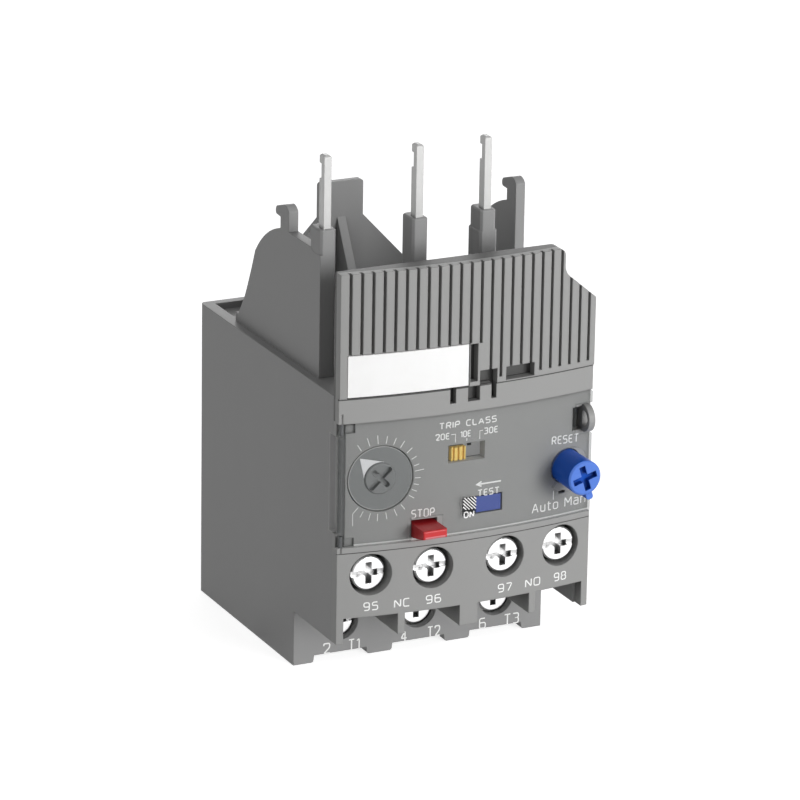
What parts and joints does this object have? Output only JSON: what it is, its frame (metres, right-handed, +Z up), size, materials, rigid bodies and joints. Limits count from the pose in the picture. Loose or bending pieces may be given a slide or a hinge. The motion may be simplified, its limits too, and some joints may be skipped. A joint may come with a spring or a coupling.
{
  "type": "electronic overload relay",
  "caption": "Electronic overload relay with a clear hinged cover, setting dial, trip class and test sliders, stop and reset buttons, screw terminals and bus bar pins.",
  "frame": {"origin": "middle of the foot of the rear face", "axes": "+Z up along the bus bar pins, +Y out of the rear face, +X to the right seen from the front"},
  "size_m": [0.045, 0.0606, 0.0871],
  "materials": {
    "housing_plastic": "fine moulded grain",
    "block_plastic": "fine moulded grain",
    "panel_plastic": "fine moulded grain",
    "rib_plastic": "fine moulded grain",
    "frame_plastic": "fine moulded grain",
    "label_white": "smooth",
    "bar_metal": "tinned",
    "core_steel": "stacked sheets",
    "coil_copper": "enamelled wire",
    "screw_steel": "zinc plated",
    "cage_steel": "zinc plated",
    "contact_metal": "plated",
    "carrier_plastic": "smooth",
    "lever_plastic": "smooth",
    "plunger_steel": "turned",
    "yoke_steel": "zinc plated",
    "winding_copper": "enamelled wire",
    "chassis_plastic": "fine moulded grain",
    "board_green": "solder mask",
    "chip_black": "moulded",
    "can_aluminium": "drawn",
    "pot_blue": "moulded",
    "switch_black": "moulded",
    "dial_grey": "smooth",
    "pointer_white": "printed",
    "slider_yellow": "smooth",
    "slider_blue": "smooth",
    "spring_steel": "drawn wire",
    "stop_red": "satin",
    "knob_blue": "satin",
    "stem_white": "smooth",
    "cover_clear": "clear",
    "pin_steel": "drawn"
  },
  "bodies": {
    "relay_body": {"housing": "housing_plastic", "terminal_block": "block_plastic", "front_panel": "panel_plastic", "ribbed_panel": "rib_plastic", "upper_frame": "frame_plastic", "label_plate": "label_white", "bus_bar_1": "bar_metal", "bus_bar_2": "bar_metal", "bus_bar_3": "bar_metal", "transformer_core_1": "core_steel", "transformer_core_2": "core_steel", "transformer_core_3": "core_steel", "transformer_coil_1": "coil_copper", "transformer_coil_2": "coil_copper", "transformer_coil_3": "coil_copper", "main_terminal_screws": "screw_steel", "control_terminal_screws": "screw_steel", "main_terminal_cages": "cage_steel", "control_terminal_cages": "cage_steel", "fixed_contact_95": "contact_metal", "fixed_contact_96": "contact_metal", "fixed_contact_97": "contact_metal", "fixed_contact_98": "contact_metal", "magnet_yoke": "yoke_steel", "magnet_coil": "winding_copper", "inner_frame": "chassis_plastic", "circuit_board": "board_green", "controller_chip": "chip_black", "capacitors": "can_aluminium", "potentiometer": "pot_blue", "class_switch": "switch_black", "test_spring": "spring_steel", "stop_spring": "spring_steel", "reset_spring": "spring_steel", "hinge_pins": "pin_steel"},
    "cover": {"cover": "cover_clear"},
    "dial": {"dial": "dial_grey", "dial_pointer": "pointer_white"},
    "class_slider": {"class_slider": "slider_yellow"},
    "test_slider": {"test_slider": "slider_blue"},
    "stop_button": {"stop_button": "stop_red"},
    "reset_stem": {"reset_stem": "stem_white"},
    "reset_knob": {"reset_knob": "knob_blue"},
    "trip_plunger": {"trip_plunger": "plunger_steel"},
    "trip_lever": {"trip_lever": "lever_plastic"},
    "contact_carrier": {"contact_carrier": "carrier_plastic", "nc_bridge": "contact_metal", "no_bridge": "contact_metal"}
  },
  "joints": [
    {"name": "cover_hinge", "type": "hinge", "parent": "relay_body", "child": "cover", "pos_m": [-0.02185, -0.0536, 0.03605], "axis": [0, 0, -1], "range_deg": [0, 110]},
    {"name": "dial_turn", "type": "hinge", "parent": "relay_body", "child": "dial", "pos_m": [-0.01535, -0.05493, 0.03663], "axis": [0.1262, 0.992, 0], "range_deg": [0, 258]},
    {"name": "class_slide", "type": "slide", "parent": "relay_body", "child": "class_slider", "axis": [1, 0, 0], "range_m": [0, 0.0028]},
    {"name": "test_slide", "type": "slide", "parent": "relay_body", "child": "test_slider", "axis": [-1, 0, 0], "range_m": [0, 0.0023], "stiffness_N_per_m": 200, "springref_m": -0.001, "deforming": ["test_spring"]},
    {"name": "stop_press", "type": "slide", "parent": "relay_body", "child": "stop_button", "axis": [0, 1, 0], "range_m": [0, 0.0016], "stiffness_N_per_m": 300, "springref_m": -0.001, "deforming": ["stop_spring"]},
    {"name": "reset_press", "type": "slide", "parent": "relay_body", "child": "reset_stem", "axis": [0, 1, 0], "range_m": [0, 0.0018], "stiffness_N_per_m": 300, "springref_m": -0.001, "deforming": ["reset_spring"]},
    {"name": "reset_turn", "type": "hinge", "parent": "reset_stem", "child": "reset_knob", "pos_m": [0.018, -0.0548, 0.034], "axis": [0, 1, 0], "range_deg": [0, 45]},
    {"name": "trip_plunger_fall", "type": "slide", "parent": "relay_body", "child": "trip_plunger", "axis": [0, 0, -1], "range_m": [0, 0.0013], "stiffness_N_per_m": 100, "springref_m": -0.001},
    {"name": "trip_lever_swing", "type": "hinge", "parent": "relay_body", "child": "trip_lever", "pos_m": [0, -0.03475, 0.0322], "axis": [1, 0, 0], "range_deg": [0, 14.2]},
    {"name": "contact_slide", "type": "slide", "parent": "relay_body", "child": "contact_carrier", "axis": [0, 1, 0], "range_m": [0, 0.00115]}
  ],
  "couplings": [
    {"joint": "trip_lever_swing", "follows": "trip_plunger_fall", "rad_per_m": 190.1},
    {"joint": "contact_slide", "follows": "trip_plunger_fall", "ratio": 0.8846}
  ]
}
